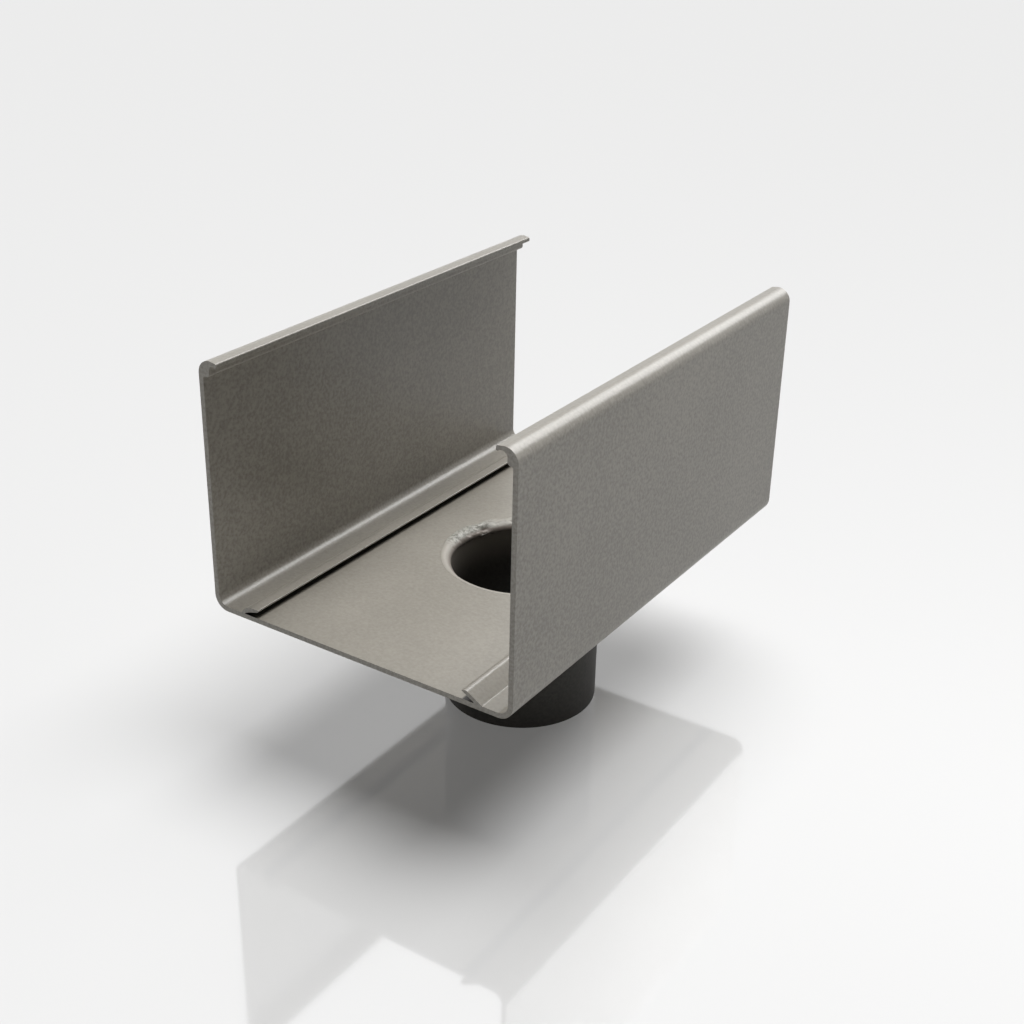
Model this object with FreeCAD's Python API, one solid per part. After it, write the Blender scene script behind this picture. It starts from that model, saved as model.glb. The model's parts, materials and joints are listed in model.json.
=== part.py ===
import FreeCAD, Part
import math
import os
from FreeCAD import Vector

# Box gutter outlet: a short length of extruded box gutter, open at both ends and at the top,
# with a round spigot welded into its floor for the downpipe.
# Units are millimetres. The origin is on the spigot's axis at its lower end, which is what the
# part stands on. +Z is up, +Y runs along the gutter away from its front end, and +X points to
# the right wall as seen from the front.

# Channel: overall sizes of the extruded length
channel_length = 200.0
channel_width = 135.2
channel_height = 100.3
wall = 2.0
outer_corner_radius = 6.0
inner_corner_radius = 4.0

# Place of the outlet in the floor, from the channel's left outer face and its front end
outlet_from_left = 73.7
outlet_from_front = 100.0

# Lips: each wall thickens into a bead near its top, then hooks inwards over a small groove.
# The left lip's bead is the thicker of the two.
left_bead_depth = 3.0
right_bead_depth = 2.2
lip_reach = 8.55
lip_thickness = 1.75
lip_outer_radius = 5.5
lip_crest_radius = 2.0
lip_droop = 0.45
lip_tip_radius = 0.6
nib_drop = 0.45
nib_width = 1.0
nib_radius = 0.3
groove_radius = 2.0
bead_foot_below_top = 6.3
bead_radius = 1.3
bead_foot_radius = 0.8

# Left floor rib: rises steeply, then runs level as a ledge with a slot below it
left_rib_inset = 13.0
left_rib_rise_run = 2.65
left_rib_height = 3.5
left_rib_reach = 8.6
left_rib_root_width = 1.0
left_rib_knee_inset = 3.7
left_rib_knee_height = 1.25
left_rib_tip_depth = 1.0
left_rib_tip_slant = 0.5
left_rib_shoulder_radius = 5.0
left_rib_knee_radius = 3.0
left_rib_tip_radius = 0.25

# Right floor rib: a fin that leans inwards, with a rounded crest that falls away to its tip.
# The angles are in degrees from the level.
right_rib_inset = 12.5
right_rib_slope = 30.0
right_rib_length = 8.4
right_rib_thickness = 1.5
right_rib_crest_fall = 28.0
right_rib_crest_radius = 3.0
right_rib_tip_radius = 0.35

# Where a rib meets the floor: the open side and the tight side under the rib
rib_root_radius = 1.0
rib_slot_radius = 0.2

# Spigot: a round tube below the floor's hole. Its upper end is level with the floor's underside
# and bevelled inwards for the weld, and the hole is wider than the tube by the weld's root gap.
spigot_diameter = 63.0
spigot_wall = 2.2
spigot_length = 60.0
spigot_weld_bevel = 1.0
weld_root_gap = 0.5

# Weld bead: how far it spreads on the floor past the hole, and how much it bulges
weld_spread = 1.5
weld_crown = 1.3

# Places worked out from the sizes above
left_face_x = -outlet_from_left
right_face_x = left_face_x + channel_width
front_end_y = -outlet_from_front
floor_underside_z = spigot_length
floor_top_z = floor_underside_z + wall
lip_top_z = floor_underside_z + channel_height
spigot_radius = spigot_diameter / 2.0
spigot_bore_radius = spigot_radius - spigot_wall
hole_radius = spigot_radius + weld_root_gap
weld_root_z = floor_underside_z - spigot_weld_bevel


def rounding_setbacks(points, radii):
    """How far from each corner its rounding starts, kept within the runs on both sides."""
    count = len(points)
    setbacks = []
    for i in range(count):
        to_last = (points[i - 1] - points[i]).normalize()
        to_next = (points[(i + 1) % count] - points[i]).normalize()
        half_angle = to_last.getAngle(to_next) / 2.0
        setbacks.append(radii[i] / math.tan(half_angle))
    shares = [1.0] * count
    for i in range(count):
        j = (i + 1) % count
        run = (points[j] - points[i]).Length
        wanted = setbacks[i] + setbacks[j]
        if wanted > run:
            shares[i] = min(shares[i], run / wanted)
            shares[j] = min(shares[j], run / wanted)
    return [setback * share for setback, share in zip(setbacks, shares)]


def rounded_outline(corners, y):
    """Closed wire in the plane at y, from corners given as (x, z, radius)."""
    points = [Vector(x, y, z) for x, z, radius in corners]
    setbacks = rounding_setbacks(points, [radius for x, z, radius in corners])
    count = len(points)
    arcs = []
    for i in range(count):
        to_last = (points[i - 1] - points[i]).normalize()
        to_next = (points[(i + 1) % count] - points[i]).normalize()
        half_angle = to_last.getAngle(to_next) / 2.0
        radius = setbacks[i] * math.tan(half_angle)
        start = points[i] + to_last * setbacks[i]
        end = points[i] + to_next * setbacks[i]
        towards_centre = (to_last + to_next).normalize()
        middle = points[i] + towards_centre * (radius / math.sin(half_angle) - radius)
        arcs.append((start, middle, end))
    edges = []
    for i in range(count):
        start, middle, end = arcs[i]
        edges.append(Part.Arc(start, middle, end).toShape())
        next_start = arcs[(i + 1) % count][0]
        if (next_start - end).Length > Part.Precision.confusion():
            edges.append(Part.LineSegment(end, next_start).toShape())
    return Part.Wire(edges)


def lip_corners(bead_depth):
    """Corners of one lip, from the wall's outer face round to its inner face.

    Each is (distance in from the wall's outer face, height, radius)."""
    bead_face = wall + bead_depth
    underside_z = lip_top_z - lip_thickness
    nib_z = underside_z - nib_drop
    bead_foot_z = lip_top_z - bead_foot_below_top
    return [
        (0.0, lip_top_z, lip_outer_radius),
        (lip_outer_radius, lip_top_z, lip_crest_radius),
        (lip_reach, lip_top_z - lip_droop, lip_tip_radius),
        (lip_reach, nib_z, nib_radius),
        (lip_reach - nib_width, nib_z, nib_radius),
        (lip_reach - nib_width, underside_z, nib_radius),
        (bead_face, underside_z, groove_radius),
        (bead_face, bead_foot_z, bead_radius),
        (wall, bead_foot_z, bead_foot_radius),
    ]


def left_rib_corners():
    """Corners of the stepped rib, from the wall's side over the top to the slot under it."""
    root = left_rib_inset
    top_z = floor_top_z + left_rib_height
    tip = root + left_rib_reach
    return [
        (root, floor_top_z, rib_root_radius),
        (root + left_rib_rise_run, top_z, left_rib_shoulder_radius),
        (tip, top_z, left_rib_tip_radius),
        (tip - left_rib_tip_slant, top_z - left_rib_tip_depth, left_rib_tip_radius),
        (root + left_rib_knee_inset, floor_top_z + left_rib_knee_height, left_rib_knee_radius),
        (root + left_rib_root_width, floor_top_z, rib_slot_radius),
    ]


def right_rib_corners():
    """Corners of the leaning fin, from the wall's side over the top to the slot under it."""
    slope = math.radians(right_rib_slope)
    fall = math.radians(right_rib_crest_fall)
    root = right_rib_inset
    crest = root + right_rib_length * math.cos(slope)
    crest_z = floor_top_z + right_rib_length * math.sin(slope)
    crest_width = right_rib_thickness / math.sin(slope + fall)
    return [
        (root, floor_top_z, rib_root_radius),
        (crest, crest_z, right_rib_crest_radius),
        (crest + crest_width * math.cos(fall), crest_z - crest_width * math.sin(fall),
         right_rib_tip_radius),
        (root + right_rib_thickness / math.sin(slope), floor_top_z, rib_slot_radius),
    ]


def channel_section():
    """Section of the extrusion: down the left side, across the floor and up the right side."""
    left_side = lip_corners(left_bead_depth)
    left_side.append((wall, floor_top_z, inner_corner_radius))
    left_side += left_rib_corners()
    right_side = lip_corners(right_bead_depth)
    right_side.append((wall, floor_top_z, inner_corner_radius))
    right_side += right_rib_corners()
    corners = [(left_face_x, floor_underside_z, outer_corner_radius)]
    corners += [(left_face_x + inset, z, radius) for inset, z, radius in left_side]
    corners += [(right_face_x - inset, z, radius) for inset, z, radius in reversed(right_side)]
    corners.append((right_face_x, floor_underside_z, outer_corner_radius))
    return rounded_outline(corners, front_end_y)


def make_gutter_channel():
    """The extruded length, with the outlet hole cut through its floor."""
    extrusion = Part.Face(channel_section()).extrude(Vector(0, channel_length, 0))
    hole_margin = wall
    cutter = Part.makeCylinder(hole_radius, wall + 2.0 * hole_margin,
                               Vector(0, 0, floor_underside_z - hole_margin))
    return extrusion.cut(cutter)


def turned(edges):
    """Solid of revolution about the spigot's axis, from the edges of a closed profile."""
    return Part.Face(Part.Wire(edges)).revolve(Vector(0, 0, 0), Vector(0, 0, 1), 360)


def run_of_lines(points):
    """Straight edges from each (radius, z) point to the next."""
    places = [Vector(radius, 0, z) for radius, z in points]
    return [Part.LineSegment(a, b).toShape() for a, b in zip(places, places[1:])]


def make_outlet_spigot():
    """The tube: cut square below, bevelled inwards above where the weld runs over its end."""
    return turned(run_of_lines([
        (spigot_bore_radius, 0.0),
        (spigot_radius, 0.0),
        (spigot_radius, floor_underside_z),
        (spigot_bore_radius, weld_root_z),
        (spigot_bore_radius, 0.0),
    ]))


def make_weld_bead():
    """The weld: fills the hole round the spigot's end, crowned from the floor to the bore."""
    toe = Vector(hole_radius + weld_spread, 0, floor_top_z)
    root = Vector(spigot_bore_radius, 0, weld_root_z)
    chord = toe - root
    crown = root + chord / 2.0 + Vector(-chord.z, 0, chord.x).normalize() * weld_crown
    edges = run_of_lines([
        (root.x, root.z),
        (spigot_radius, floor_underside_z),
        (hole_radius, floor_underside_z),
        (hole_radius, floor_top_z),
        (toe.x, toe.z),
    ])
    edges.append(Part.Arc(toe, crown, root).toShape())
    return turned(edges)


def write_parts():
    os.makedirs("parts", exist_ok=True)
    parts = {
        "gutter_channel": make_gutter_channel(),
        "outlet_spigot": make_outlet_spigot(),
        "weld_bead": make_weld_bead(),
    }
    for name, shape in parts.items():
        shape.exportStep(os.path.join("parts", name + ".step"))
        print(name, "valid", shape.isValid(), "solids", len(shape.Solids),
              "volume", round(shape.Volume, 1))


write_parts()
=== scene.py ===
# %% [markdown]
# # Box gutter outlet
# This is a short length of box gutter with a round spigot welded into its floor. Rain runs along
# the gutter, drops through the spigot and goes on down a pipe. The gutter is extruded aluminium
# under a warm grey powder coat, the spigot is a tube in a darker coat, and a weld bead joins them.
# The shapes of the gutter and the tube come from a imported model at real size, so this lesson
# loads it first and then adds what the eye needs: the weld, the coats, the light and the camera.

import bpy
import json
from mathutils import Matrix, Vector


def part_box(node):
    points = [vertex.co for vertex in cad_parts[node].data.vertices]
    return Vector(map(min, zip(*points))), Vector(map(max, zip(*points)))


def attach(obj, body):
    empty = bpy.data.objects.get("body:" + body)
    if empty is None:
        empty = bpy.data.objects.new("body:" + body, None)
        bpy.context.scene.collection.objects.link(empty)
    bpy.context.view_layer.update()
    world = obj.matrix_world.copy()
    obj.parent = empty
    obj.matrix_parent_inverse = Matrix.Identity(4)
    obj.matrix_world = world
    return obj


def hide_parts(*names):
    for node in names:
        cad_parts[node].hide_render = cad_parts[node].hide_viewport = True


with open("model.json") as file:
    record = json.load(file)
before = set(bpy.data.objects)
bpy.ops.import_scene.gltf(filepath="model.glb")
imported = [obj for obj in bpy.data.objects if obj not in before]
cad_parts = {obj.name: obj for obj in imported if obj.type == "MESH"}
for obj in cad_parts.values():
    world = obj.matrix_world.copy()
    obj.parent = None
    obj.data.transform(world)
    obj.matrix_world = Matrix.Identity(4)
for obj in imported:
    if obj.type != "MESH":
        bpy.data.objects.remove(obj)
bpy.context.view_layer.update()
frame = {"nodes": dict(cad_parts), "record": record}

# %% [markdown]
# ## Helpers for materials
# Each finish below is a small tree of shader nodes. The first helper adds one node and fills its
# inputs. Where an input is given the output of another node, it links the two, so a tree can be
# written down in the order in which its values flow. The second starts a material with its main
# shader ready to be set, and the third puts a material on a piece.

# %% Helpers for materials
import json
import math
import bpy
import bmesh
from mathutils import Vector, noise

MM = 0.001
WHITE = (1.0, 1.0, 1.0, 1.0)


def add_node(tree, kind, inputs=None, **settings):
    """Add a node. Each input, by name or number, is set to a value or linked to an output."""
    node = tree.nodes.new(kind)
    for name, value in settings.items():
        setattr(node, name, value)
    for name, value in (inputs or {}).items():
        if isinstance(value, bpy.types.NodeSocket):
            tree.links.new(value, node.inputs[name])
        else:
            node.inputs[name].default_value = value
    return node


def start_material(name, **inputs):
    """A new material with one Principled shader. Returns the material, its tree and the shader."""
    material = bpy.data.materials.new(name)
    material.use_nodes = True
    shader = material.node_tree.nodes["Principled BSDF"]
    for socket, value in inputs.items():
        shader.inputs[socket.replace("_", " ")].default_value = value
    return material, material.node_tree, shader


def paint(piece, material):
    """Give a piece one material in place of any it has."""
    piece.data.materials.clear()
    piece.data.materials.append(material)
    print("coated", piece.name)


print("units: 1 m, so a millimetre is", MM)

# %% [markdown]
# ## Helpers for the sums in a material
# The same few sums come back in every tree: arithmetic, a mix of two colours or two numbers, a
# fade from 0 to 1 between two limits, the X, Y and Z of a vector, and a noise with grains of a
# known size. Each helper adds the nodes for one of them and returns the output, which goes
# straight into the next one.

# %% Helpers for the sums in a material


def maths(tree, operation, *values):
    """One step of arithmetic on numbers or outputs."""
    node = add_node(tree, "ShaderNodeMath", dict(enumerate(values)), operation=operation)
    return node.outputs["Value"]


def mix(tree, share, first, second, kind="RGBA"):
    """The first colour where the share is 0, the second where it is 1. FLOAT mixes numbers."""
    node = add_node(tree, "ShaderNodeMix", {"Factor": share, "A": first, "B": second},
                    data_type=kind)
    return node.outputs["Result"]


def fade(tree, value, low, high, curve="LINEAR"):
    """0 where the value is at low, 1 where it is at high."""
    node = add_node(tree, "ShaderNodeMapRange",
                    {"Value": value, "From Min": low, "From Max": high},
                    interpolation_type=curve)
    return node.outputs["Result"]


def along_axes(tree, vector):
    """The X, Y and Z outputs of a vector, to be picked by name."""
    return add_node(tree, "ShaderNodeSeparateXYZ", {"Vector": vector}).outputs


def grains(tree, place, per_metre, detail):
    """A noise with about this many grains to the metre."""
    node = add_node(tree, "ShaderNodeTexNoise",
                    {"Vector": place, "Scale": per_metre, "Detail": detail})
    return node.outputs["Fac"]


print("five helpers for sums")

# %% [markdown]
# ## The camera
# The photograph looks down on the outlet from the front right, a little over half a metre away.
# The place, the three turns and the focal length below were found by matching the straight edges
# of the gutter with their lines in the photograph, so the render can be laid over it.

# %% The camera
CAMERA_PLACE = (0.29469, -0.45981, 0.34929)
CAMERA_TURNS = (63.882, -1.113, 33.725)
CAMERA_LENS = 53.594
CAMERA_SENSOR = 36.0
CAMERA_NEAR = 0.01

camera_data = bpy.data.cameras.new("photo_camera")
camera_data.sensor_width = CAMERA_SENSOR
camera_data.lens = CAMERA_LENS
camera_data.clip_start = CAMERA_NEAR
camera = bpy.data.objects.new("photo_camera", camera_data)
camera.location = CAMERA_PLACE
camera.rotation_euler = [math.radians(turn) for turn in CAMERA_TURNS]
bpy.context.scene.collection.objects.link(camera)
bpy.context.scene.camera = camera
bpy.context.scene.view_settings.view_transform = "Standard"
print("camera", round(Vector(CAMERA_PLACE).length, 3), "m from the foot of the spigot")

# %% [markdown]
# ## The floor
# The outlet stands on a glossy white table top. Most of what the floor shows is plain white, but
# part of the light is mirrored, and that is why the photograph has a soft upside-down gutter
# below the real one. A diffuse shader mixed with a share of a nearly smooth glossy one gives
# both. A pool of light is painted into the white: it is a little lighter round the front right of
# the part, as it is under a studio lamp, and that painted light fades with the distance from the
# pool's centre. What the camera sees of the floor and what the part gets back from it are two
# things in a studio picture, so the light path picks a darker tone for the light that bounces up
# to the part. A small share of plain glow, for the camera alone, lifts the deepest shadow to the
# grey it has in the photograph.

# %% The floor
FLOOR_SIZE = 40.0
FLOOR_LIT = (0.86, 0.86, 0.859, 1.0)
FLOOR_FAR = (0.69, 0.69, 0.688, 1.0)
POOL_CENTRE = (0.25, 0.05, 0.0)
POOL_SPREAD = 0.45
FLOOR_BOUNCE = (0.56, 0.56, 0.558, 1.0)
FLOOR_MIRROR_SHARE = 0.25
FLOOR_MIRROR_ROUGHNESS = 0.06
FLOOR_GLOW_SHARE = 0.1

bpy.ops.object.select_all(action="DESELECT")
bpy.ops.mesh.primitive_plane_add(size=FLOOR_SIZE, location=(0, 0, 0))
floor = bpy.context.active_object
floor.name = "floor"

table_white, tree, shader = start_material("white_table_top")
tree.nodes.remove(shader)
for_camera = add_node(tree, "ShaderNodeLightPath").outputs["Is Camera Ray"]
place = add_node(tree, "ShaderNodeTexCoord").outputs["Object"]
# Painted light: a pool of light painted into the floor's white, lightest at POOL_CENTRE and fading
# over POOL_SPREAD.
away = add_node(tree, "ShaderNodeVectorMath", {0: place, 1: POOL_CENTRE}, operation="DISTANCE")
painted_light_pool = maths(tree, "EXPONENT",
             maths(tree, "MULTIPLY", away.outputs["Value"], -1.0 / POOL_SPREAD))
tone = mix(tree, for_camera, FLOOR_BOUNCE, mix(tree, painted_light_pool, FLOOR_FAR, FLOOR_LIT))
white = add_node(tree, "ShaderNodeBsdfDiffuse", {"Color": tone})
mirror = add_node(tree, "ShaderNodeBsdfGlossy",
                  {"Color": WHITE, "Roughness": FLOOR_MIRROR_ROUGHNESS})
gloss = add_node(tree, "ShaderNodeMixShader",
                 {"Fac": FLOOR_MIRROR_SHARE, 1: white.outputs[0], 2: mirror.outputs[0]})
glow = add_node(tree, "ShaderNodeEmission", {"Color": WHITE})
glow_share = maths(tree, "MULTIPLY", for_camera, FLOOR_GLOW_SHARE)
lifted = add_node(tree, "ShaderNodeMixShader",
                  {"Fac": glow_share, 1: gloss.outputs[0], 2: glow.outputs[0]})
tree.links.new(lifted.outputs[0], tree.nodes["Material Output"].inputs["Surface"])
paint(floor, table_white)
print("floor", FLOOR_SIZE, "m wide")

# %% [markdown]
# ## The lamps
# In the photograph the gutter's floor is bright, its long walls are darker and its front cut ends
# are darker still. So the light is broad and soft, and it comes from overhead and from behind,
# along the gutter. Sun lamps with wide angles make such a light, and they light a large floor
# evenly. Each one here does one job, as each softbox does in a studio. One is overhead. One is
# behind and gives no shine. The third gives only shine: it draws the bright line along the rolled
# lip on the right. The fourth gives the soft shadow under the part.

# %% The lamps
OVER_STRENGTH, OVER_ANGLE, OVER_TILT = 3.0, 36.0, (-16.0, -3.0)
BEHIND_STRENGTH, BEHIND_ANGLE, BEHIND_TILT = 0.8, 50.0, (-48.0, 0.0)
SHINE_STRENGTH, SHINE_ANGLE, SHINE_TILT = 1.6, 40.0, (-48.6, 10.8)
TABLE_STRENGTH, TABLE_ANGLE, TABLE_TILT = 3.55, 50.0, (-18.0, 4.0)


def soft_sun(name, strength, angle, tilt):
    """A sun lamp with a wide angle. The tilt is its turns about X and Y from straight down."""
    data = bpy.data.lights.new(name, "SUN")
    data.energy = strength
    data.angle = math.radians(angle)
    lamp = bpy.data.objects.new(name, data)
    lamp.rotation_euler = (math.radians(tilt[0]), math.radians(tilt[1]), 0)
    bpy.context.scene.collection.objects.link(lamp)
    print(name, "strength", strength)
    return lamp


over = soft_sun("softbox_overhead", OVER_STRENGTH, OVER_ANGLE, OVER_TILT)
behind = soft_sun("softbox_behind", BEHIND_STRENGTH, BEHIND_ANGLE, BEHIND_TILT)
behind.visible_glossy = False
shine = soft_sun("softbox_shine", SHINE_STRENGTH, SHINE_ANGLE, SHINE_TILT)
shine.visible_diffuse = False
table_lamp = soft_sun("softbox_table", TABLE_STRENGTH, TABLE_ANGLE, TABLE_TILT)
table_lamp.visible_glossy = False

# %% [markdown]
# ## What each lamp lights
# A lamp that lights the glossy table also shows in it, as a white patch with an edge. So the table
# has the fourth lamp for itself, and the other three skip it. Light linking sets that: a lamp can
# be given a collection, and it then lights what the collection holds, or all but what is marked
# in it as excluded.

# %% What each lamp lights
not_the_floor = bpy.data.collections.new("not_the_floor")
not_the_floor.objects.link(floor)
not_the_floor.collection_objects[0].light_linking.link_state = "EXCLUDE"
for lamp in (over, behind, shine):
    lamp.light_linking.receiver_collection = not_the_floor
only_the_floor = bpy.data.collections.new("only_the_floor")
only_the_floor.objects.link(floor)
table_lamp.light_linking.receiver_collection = only_the_floor
print("three lamps skip the floor, and", table_lamp.name, "lights nothing else")

# %% [markdown]
# ## The world
# A white studio adds a little light from all round. What the camera, the reflections and any glass
# see of it is plain white. Those are two strengths of one background, and the light path picks
# between them, so that the white backdrop doesn't flood the part with light.

# %% The world
WORLD_LIGHT = 0.03
WORLD_SEEN = 1.0

world = bpy.data.worlds.new("white_studio")
world.use_nodes = True
bpy.context.scene.world = world
tree = world.node_tree
path = add_node(tree, "ShaderNodeLightPath").outputs
seen = maths(tree, "MAXIMUM", path["Is Camera Ray"], path["Is Glossy Ray"])
seen = maths(tree, "MAXIMUM", seen, path["Is Transmission Ray"])
background = tree.nodes["Background"]
background.inputs["Color"].default_value = WHITE
tree.links.new(mix(tree, seen, WORLD_LIGHT, WORLD_SEEN, "FLOAT"), background.inputs["Strength"])
print("world light", WORLD_LIGHT, "seen as", WORLD_SEEN)

# %% [markdown]
# ## Powder coat
# Powder coat is paint baked on as a fine powder. Close up it has a faint grain, like very fine
# orange peel, and its colour has a speckle that drifts a little. Two noises do that: a large soft
# one shifts the colour, and a fine one gives both the speckle and the bump. They read Object
# coordinates, so the grain has its real size in metres wherever it is. The powder flows out
# smoother on the faces that lie level, so there the speckle is calmer. Both the gutter and the
# spigot have such a coat, so it is a function with the colours left open.

# %% Powder coat
SPECKLE_PER_METRE, SPECKLE_DETAIL = 800.0, 3.0
DRIFT_PER_METRE, DRIFT_DETAIL = 18.0, 2.0
DRIFT_SHARE = 0.2
SPECKLE_LOW, SPECKLE_MIDDLE, SPECKLE_HIGH = 0.38, 0.5, 0.62
LEVEL_SHARE = 0.33
GRAIN_DEPTH = 0.12 * MM


def powder_coat(name, dark, light, roughness, specular, grain_bump):
    """Fine-grained baked paint: dark and light are the two ends of its speckle.

    Returns the material, its tree, its shader and the output that gives its colour."""
    material, tree, shader = start_material(name, Roughness=roughness,
                                            Specular_IOR_Level=specular)
    place = add_node(tree, "ShaderNodeTexCoord").outputs
    grain = grains(tree, place["Object"], SPECKLE_PER_METRE, SPECKLE_DETAIL)
    drift = grains(tree, place["Object"], DRIFT_PER_METRE, DRIFT_DETAIL)
    level = maths(tree, "ABSOLUTE", along_axes(tree, place["Normal"])["Z"])
    calm = mix(tree, level, 1.0, LEVEL_SHARE, "FLOAT")
    calmed = mix(tree, calm, SPECKLE_MIDDLE, grain, "FLOAT")
    both = mix(tree, DRIFT_SHARE, calmed, drift, "FLOAT")
    colour = mix(tree, fade(tree, both, SPECKLE_LOW, SPECKLE_HIGH), dark, light)
    bump = add_node(tree, "ShaderNodeBump", {"Strength": grain_bump, "Distance": GRAIN_DEPTH,
                                             "Height": grain})
    tree.links.new(colour, shader.inputs["Base Color"])
    tree.links.new(bump.outputs["Normal"], shader.inputs["Normal"])
    return material, tree, shader, colour


print("powder coat with", SPECKLE_PER_METRE, "grains to the metre")

# %% [markdown]
# ## The warm grey coat on the gutter
# The gutter's coat is a warm grey. In the two slots under the ribs, shade is painted into the
# coat:
# there it is near black. Each slot is known by its place across the gutter and its height. The cut
# ends are left out, by the way they face.

# %% The warm grey coat on the gutter
COAT_DARK = (0.238, 0.221, 0.188, 1.0)
COAT_LIGHT = (0.35, 0.326, 0.283, 1.0)
COAT_ROUGHNESS = 0.32
COAT_SPECULAR = 0.8
COAT_BUMP = 0.5
SLOTS = [(-0.0598, -0.0534), (0.0406, 0.0461)]
SLOT_FADE = 0.5 * MM
SLOT_TOP, SLOT_TOP_FADE = 0.0633, 0.1 * MM
END_FACING, SIDE_FACING = 0.6, 0.5
SLOT_PAINTED_SHADE = (0.03, 0.028, 0.024, 1.0)

channel_coat, tree, shader, coat = powder_coat("warm_grey_powder_coat", COAT_DARK, COAT_LIGHT,
                                               COAT_ROUGHNESS, COAT_SPECULAR, COAT_BUMP)
place = add_node(tree, "ShaderNodeTexCoord").outputs
where = along_axes(tree, place["Object"])
endways = maths(tree, "ABSOLUTE", along_axes(tree, place["Normal"])["Y"])
# Painted shade: the slots under the ribs, below SLOT_TOP and on faces that don't face the cut
# ends, are darkened to near black.
in_slot_shade = maths(tree, "MULTIPLY",
                 fade(tree, where["Z"], SLOT_TOP + SLOT_TOP_FADE, SLOT_TOP, "SMOOTHSTEP"),
                 fade(tree, endways, END_FACING, SIDE_FACING, "SMOOTHSTEP"))
for left, right in SLOTS:
    across = maths(tree, "MULTIPLY",
                   fade(tree, where["X"], left - SLOT_FADE, left + SLOT_FADE, "SMOOTHSTEP"),
                   fade(tree, where["X"], right + SLOT_FADE, right - SLOT_FADE, "SMOOTHSTEP"))
    coat = mix(tree, maths(tree, "MULTIPLY", across, in_slot_shade), coat, SLOT_PAINTED_SHADE)
tree.links.new(coat, shader.inputs["Base Color"])
paint(frame["nodes"]["gutter_channel"], channel_coat)

# %% [markdown]
# ## The dark coat on the spigot, partly painted shade
# The tube has a much darker brown-grey coat, and most of that darkness is painted shade, for the
# deep shade under the gutter. It is the same kind of paint, so the same function makes it with
# other colours. Inside the bore the coat is paler near the top, as painted light that reaches in
# from above. So a second colour is mixed in, by how far inside the tube a point is and by its
# height.

# %% The dark coat on the spigot, partly painted shade
# Painted shade: SPIGOT_DARK and SPIGOT_LIGHT are much darker than the gutter's coat, mostly to
# stand for the deep shade under the gutter.
SPIGOT_DARK = (0.028, 0.026, 0.022, 1.0)
SPIGOT_LIGHT = (0.042, 0.039, 0.033, 1.0)
SPIGOT_ROUGHNESS = 0.45
SPIGOT_SPECULAR = 0.3
SPIGOT_BUMP = 0.3
BORE_PAINTED_LIGHT = (0.17, 0.155, 0.135, 1.0)
BORE_EDGE = 0.0304
PAINTED_LIGHT_FROM, PAINTED_LIGHT_TO = 0.040, 0.0595
FLATTENED = (1.0, 1.0, 0.0)

spigot_coat, tree, shader, coat = powder_coat("dark_powder_coat_with_painted_shade", SPIGOT_DARK, SPIGOT_LIGHT,
                                              SPIGOT_ROUGHNESS, SPIGOT_SPECULAR, SPIGOT_BUMP)
place = add_node(tree, "ShaderNodeTexCoord").outputs["Object"]
flat = add_node(tree, "ShaderNodeVectorMath", {0: place, 1: FLATTENED}, operation="MULTIPLY")
reach = add_node(tree, "ShaderNodeVectorMath", {0: flat.outputs["Vector"]}, operation="LENGTH")
# Painted light: the bore's coat turns paler towards its top, where light reaches in.
inside = maths(tree, "LESS_THAN", reach.outputs["Value"], BORE_EDGE)
rise = fade(tree, along_axes(tree, place)["Z"], PAINTED_LIGHT_FROM, PAINTED_LIGHT_TO, "SMOOTHERSTEP")
coat = mix(tree, maths(tree, "MULTIPLY", inside, rise), coat, BORE_PAINTED_LIGHT)
tree.links.new(coat, shader.inputs["Base Color"])
paint(frame["nodes"]["outlet_spigot"], spigot_coat)

# %% [markdown]
# ## The weld bead's section
# Weld metal runs from the gutter's floor over the edge of the hole and down to the tube's bore.
# Its face bulges between its outer edge on the floor, the toe, and its lower edge in the bore, the
# root. That face is part of a circle, and this works out where the circle's centre is. The sizes
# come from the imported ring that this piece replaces.

# %% The weld bead's section
FLOOR_TOP = 0.062
HOLE_RADIUS = 0.032
WELD_CROWN = 1.3 * MM

weld_low, weld_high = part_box("weld_bead")
_, spigot_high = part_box("outlet_spigot")
bore_radius = next(mount["dims"]["r_mm"] for mount in frame["record"]["mounts"]
                   if mount["name"] == "outlet_bore") * MM
toe = Vector((weld_high[0], 0, FLOOR_TOP))
root = Vector((bore_radius, 0, weld_low[2]))
chord = toe - root
outward = Vector((-chord.z, 0, chord.x)).normalized()
section_radius = (chord.length ** 2 / 4 + WELD_CROWN ** 2) / (2 * WELD_CROWN)
section_centre = (toe + root) / 2 - outward * (section_radius - WELD_CROWN)
print("weld", round(chord.length / MM, 2), "mm from toe to root")

# %% [markdown]
# ## The weld bead, first as a clean ring
# A lathe would make its clean form, and Blender's lathe is spin. The section starts from a circle
# primitive standing on edge at the right-hand side of the hole. Bisect cuts it along the line from
# the toe to the root. The two ends are joined again round the corner of the hole, and the section
# is spun a full turn.

# %% The weld bead, first as a clean ring
SECTION_POINTS = 96
RING_STEPS = 540
MERGE_DISTANCE = 0.001 * MM
OFF_THE_FACE = 0.01 * MM


def in_section(point):
    """A point of the ring turned back to the section, measured from the section's centre."""
    return Vector((math.hypot(point.x, point.y), 0, point.z)) - section_centre


hidden_corners = [(HOLE_RADIUS, 0, FLOOR_TOP), (HOLE_RADIUS, 0, spigot_high[2]),
                  (spigot_high[0], 0, spigot_high[2])]

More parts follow.
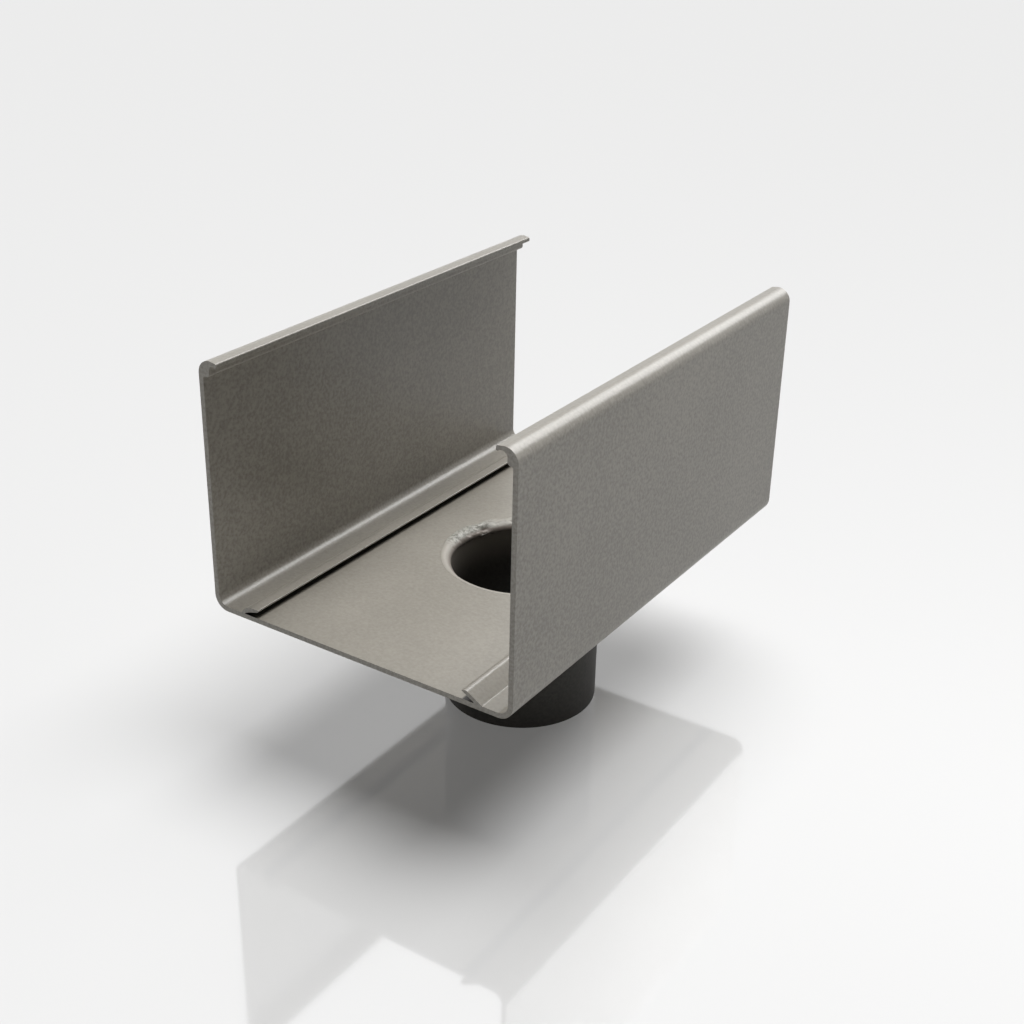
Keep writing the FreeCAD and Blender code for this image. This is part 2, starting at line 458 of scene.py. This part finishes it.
bpy.ops.object.select_all(action="DESELECT")
bpy.ops.mesh.primitive_circle_add(vertices=SECTION_POINTS, radius=section_radius,
                                  location=section_centre, rotation=(math.radians(90), 0, 0))
weld = bpy.context.active_object
weld.name = "rippled_weld"
bpy.ops.object.transform_apply(location=True, rotation=True, scale=True)
bpy.ops.object.mode_set(mode="EDIT")
bpy.ops.mesh.select_all(action="SELECT")
bpy.ops.mesh.bisect(plane_co=toe, plane_no=outward, clear_inner=True)
bpy.ops.mesh.select_all(action="DESELECT")
section = bmesh.from_edit_mesh(weld.data)
for vertex in section.verts:
    vertex.select_set(len(vertex.link_edges) == 1)
section.select_flush(True)
bpy.ops.mesh.edge_face_add()
bpy.ops.mesh.subdivide(number_cuts=len(hidden_corners))
section = bmesh.from_edit_mesh(weld.data)
on_chord = [vertex for vertex in section.verts
            if in_section(vertex.co).length < section_radius - OFF_THE_FACE]
on_chord.sort(key=lambda vertex: -vertex.co.x)
for vertex, corner in zip(on_chord, hidden_corners):
    vertex.co = corner
bmesh.update_edit_mesh(weld.data)
bpy.ops.mesh.select_all(action="SELECT")
bpy.ops.mesh.spin(steps=RING_STEPS, angle=math.radians(360), center=(0, 0, 0), axis=(0, 0, 1))
bpy.ops.mesh.select_all(action="SELECT")
bpy.ops.mesh.remove_doubles(threshold=MERGE_DISTANCE)
bpy.ops.mesh.normals_make_consistent(inside=False)
bpy.ops.object.mode_set(mode="OBJECT")
print("weld ring", len(weld.data.vertices), "vertices,", len(on_chord), "hidden corners")

# %% [markdown]
# ## Where the weld is uneven
# The weld was laid by hand. On the far side it is uneven: it swells past its line in two places,
# with one clear notch between them, where one run stopped and the next began. Its face is knobbly,
# less so just right of the notch. On the left side it is smooth. On the near side it is only a low
# rim with a hollow face below it, so there the dark bore shows right up to the edge of the hole.
# The swellings and hollows are lists of bumps, each with its place in degrees round the ring, its
# width in degrees and its size in millimetres. Fixed noise gives the knobs. It has no random seed,
# so the ring comes out the same each time.

# %% Where the weld is uneven
SWELLINGS = [(262, 26, -0.25), (190, 8, 0.9), (178, 6, 1.1), (167, 6, 1.8), (147, 8, 2.0),
             (131, 8, 1.5), (104, 7, -0.8), (88, 8, 0.6), (62, 9, -0.5), (40, 8, 0.4)]
HOLLOWS = [(262, 28, 1.5), (212, 20, 0.25), (156, 4.5, 1.25)]
ROUGH_FROM, ROUGH_TO, ROUGH_FADE = 20, 200, 14
EVEN_AT, EVEN_WIDTH, EVEN_SHARE = 139, 10, 0.7
SMOOTH_SHARE = 0.04
NOISE_FALL, NOISE_STEP, NOISE_LAYERS = 1.0, 2.0, 2


def bump_at(degrees, centre, width):
    """A smooth bump round the ring: 1 at its centre, falling to 0 past its width."""
    return math.exp(-((degrees - centre) / width) ** 2)


def sum_of_bumps(bumps, degrees):
    """The listed bumps added up at one place round the ring, in metres."""
    return sum(size * MM * bump_at(degrees, centre, width) for centre, width, size in bumps)


def roughness_at(degrees):
    """1 where the weld is uneven, falling to SMOOTH_SHARE on the smooth side."""
    edge = min(degrees - ROUGH_FROM, ROUGH_TO - degrees) / ROUGH_FADE
    even = EVEN_SHARE * bump_at(degrees, EVEN_AT, EVEN_WIDTH)
    return SMOOTH_SHARE + (1 - SMOOTH_SHARE) * min(max(edge, 0.0), 1.0) * (1 - even)


def lump(place, size):
    """Fixed noise with knobs of about the given size."""
    return noise.fractal(place / size, NOISE_FALL, NOISE_STEP, NOISE_LAYERS)


print("notch", round(sum_of_bumps(HOLLOWS, HOLLOWS[-1][0]) / MM, 2), "mm deep")

# %% [markdown]
# ## The weld bead, made lumpy
# A modifier would disturb the ring all alike, so each vertex is pushed here by code, as a sculptor
# would. It goes out or in along the face, sideways at the toe, and down over the tube at the root.
# Wherever the bead lies over the gutter's floor it is kept just above it, or the floor would show
# through. Each vertex is also marked with how rough it is, for the coat that follows.

# %% The weld bead, made lumpy
RIM_FROM = 0.78
KNOB_SIZE, KNOB_HEIGHT = 3.0 * MM, 0.44 * MM
GRIT_SIZE, GRIT_HEIGHT = 0.9 * MM, 0.14 * MM
RUN_DOWN = 1.2 * MM
RUN_PROUD = 0.15 * MM
STAY_ABOVE, TOE_FROM = 0.09 * MM, 0.97

rough_marks = weld.data.attributes.new("rough", "FLOAT", "POINT")
arc_from = math.atan2(root.z - section_centre.z, root.x - section_centre.x)
arc_to = math.atan2(toe.z - section_centre.z, toe.x - section_centre.x)
for vertex in weld.data.vertices:
    offset = in_section(vertex.co)
    if offset.length < section_radius - OFF_THE_FACE:
        continue
    place = vertex.co.copy()
    radial = Vector((place.x, place.y, 0)).normalized()
    face = (radial * offset.x + Vector((0, 0, offset.z))).normalized()
    degrees = math.degrees(math.atan2(place.y, place.x)) % 360
    turn = math.atan2(offset.z, offset.x)
    along = min(max((turn - arc_from) / (arc_to - arc_from), 0.0), 1.0)
    rough = roughness_at(degrees)
    rough_marks.data[vertex.index].value = rough
    height = KNOB_HEIGHT * lump(place, KNOB_SIZE) + GRIT_HEIGHT * lump(place, GRIT_SIZE)
    crown = math.sin(math.pi * along)
    hollow = math.sin(math.pi * min(along / RIM_FROM, 1.0)) ** 2
    vertex.co += face * (crown * rough * height - hollow * sum_of_bumps(HOLLOWS, degrees))
    vertex.co += radial * (sum_of_bumps(SWELLINGS, degrees) * along ** 2)
    at_root = rough * (1 - along) ** 2
    vertex.co.z -= at_root * RUN_DOWN * abs(lump(place, KNOB_SIZE))
    vertex.co -= radial * (at_root * RUN_PROUD)
    if math.hypot(vertex.co.x, vertex.co.y) > HOLE_RADIUS - STAY_ABOVE and along < TOE_FROM:
        vertex.co.z = max(vertex.co.z, FLOOR_TOP + STAY_ABOVE)
weld.data.shade_smooth()
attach(weld, "root")
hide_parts("weld_bead")
print("weld top", round(max(v.co.z for v in weld.data.vertices) / MM, 2), "mm")

# %% [markdown]
# ## The coat over the weld
# The weld took a thin coat of the gutter's colour. Where it is smooth it is painted a little
# lighter than the gutter's floor, a painted sheen for the light band along its rounded face. Where
# it is rough it is paler and a touch greener, with dark pits. As it goes down to meet the tube it
# turns brown and then dark. The vertices were marked with how rough they are, so the material
# reads that mark to mix the two coats. The pits come from a fine noise, and the brown and dark
# lower edge from the height, both read off Object coordinates.

# %% The coat over the weld
WELD_SMOOTH_PAINTED_SHEEN = (0.37, 0.345, 0.305, 1.0)
WELD_PALE = (0.37, 0.364, 0.325, 1.0)
WELD_PIT = (0.19, 0.184, 0.16, 1.0)
WELD_BROWN = (0.23, 0.2, 0.175, 1.0)
WELD_DARK = (0.07, 0.062, 0.053, 1.0)
PITS_PER_METRE, PIT_DETAIL = 800.0, 4.0
PIT_UNDER, PALE_OVER = 0.36, 0.58
DARK_UNDER, BROWN_AT, COATED_OVER = 0.0586, 0.0602, 0.0614
WELD_ROUGHNESS = 0.5
WELD_SPECULAR = 0.35

weld_coat, tree, shader = start_material("coated_weld", Roughness=WELD_ROUGHNESS,
                                         Specular_IOR_Level=WELD_SPECULAR)
place = add_node(tree, "ShaderNodeTexCoord").outputs["Object"]
pits = grains(tree, place, PITS_PER_METRE, PIT_DETAIL)
pitted = add_node(tree, "ShaderNodeValToRGB", {"Fac": pits})
pit_stop, pale_stop = pitted.color_ramp.elements
pit_stop.position, pit_stop.color = PIT_UNDER, WELD_PIT
pale_stop.position, pale_stop.color = PALE_OVER, WELD_PALE
rough = add_node(tree, "ShaderNodeAttribute", attribute_name="rough").outputs["Fac"]
# Painted highlight: the smooth weld's colour is lighter than the gutter's coat, as a painted sheen
# of its rounded face.
upper = mix(tree, rough, WELD_SMOOTH_PAINTED_SHEEN, pitted.outputs["Color"])
height = along_axes(tree, place)["Z"]
lower = mix(tree, fade(tree, height, DARK_UNDER, BROWN_AT), WELD_DARK, WELD_BROWN)
coat = mix(tree, fade(tree, height, BROWN_AT, COATED_OVER, "SMOOTHSTEP"), lower, upper)
tree.links.new(coat, shader.inputs["Base Color"])
paint(weld, weld_coat)
